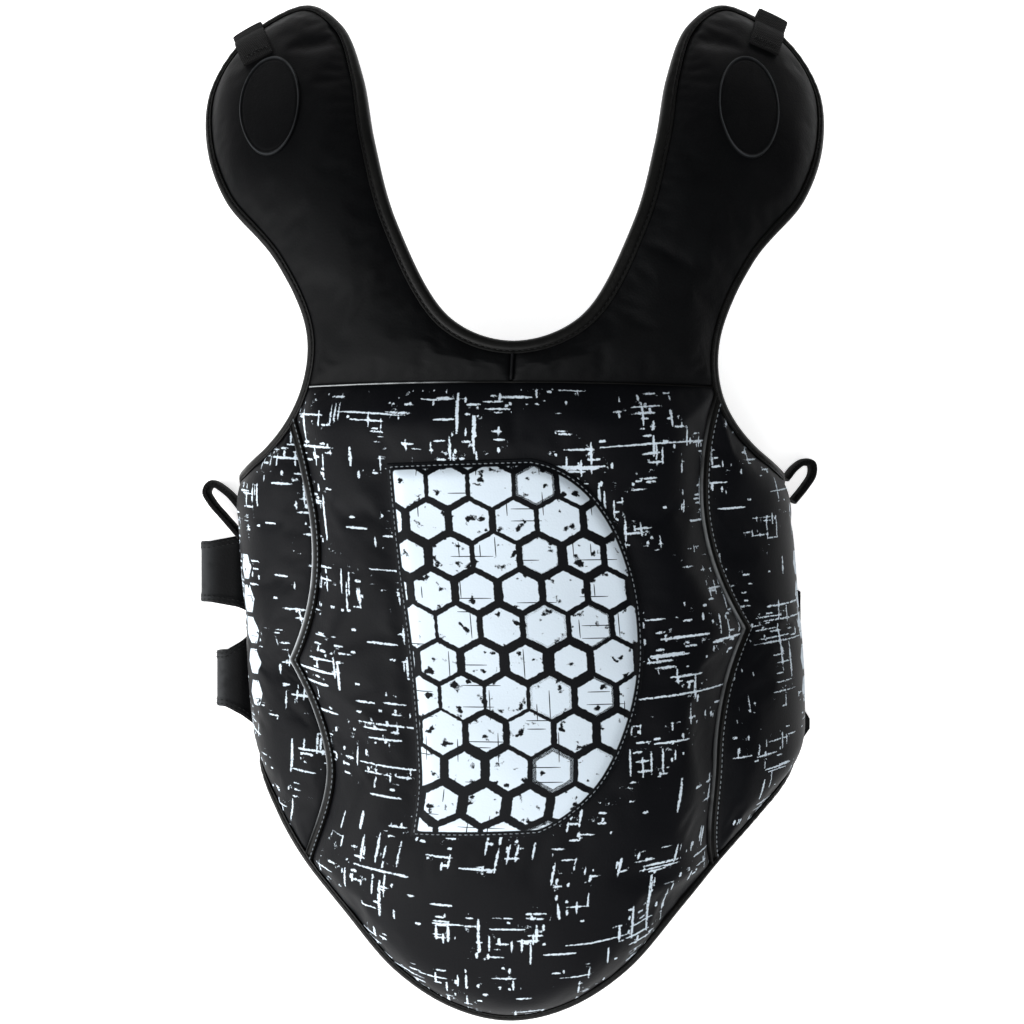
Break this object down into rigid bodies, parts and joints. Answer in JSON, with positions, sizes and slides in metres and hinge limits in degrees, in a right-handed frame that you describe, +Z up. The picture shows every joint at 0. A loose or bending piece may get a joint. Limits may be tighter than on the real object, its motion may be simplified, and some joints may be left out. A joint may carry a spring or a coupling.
{
  "type": "taekwondo chest protector",
  "caption": "Padded chest protector for taekwondo, lying face up: arched front with scratch print, shoulder flaps, bound edges, webbing tabs and loops, and straps under the body.",
  "frame": {"origin": "on the floor, below the middle of the whole", "axes": "+X to the right as seen from above, +Y to the shoulder flaps, +Z up out of the front"},
  "size_m": [0.467, 0.7289, 0.1551],
  "materials": {
    "plain_leather": "satin",
    "printed_leather": "satin",
    "emblem_leather": "satin",
    "bound_edge": "satin",
    "webbing": "matt"
  },
  "bodies": {
    "root": {"yoke_left": "plain_leather", "yoke_right": "plain_leather", "seam_band_left": "plain_leather", "seam_band_right": "plain_leather", "tab_patch_left": "plain_leather", "tab_patch_right": "plain_leather", "body_strap_upper": "plain_leather", "body_strap_lower": "plain_leather", "chest_panel": "printed_leather", "side_panel_left": "printed_leather", "side_panel_right": "printed_leather", "emblem_pad": "emblem_leather", "binding_top": "bound_edge", "binding_side_left": "bound_edge", "binding_side_right": "bound_edge", "binding_hem": "bound_edge", "shoulder_tab_left": "webbing", "shoulder_tab_right": "webbing", "side_loop_left": "webbing", "side_loop_right": "webbing"}
  },
  "joints": []
}
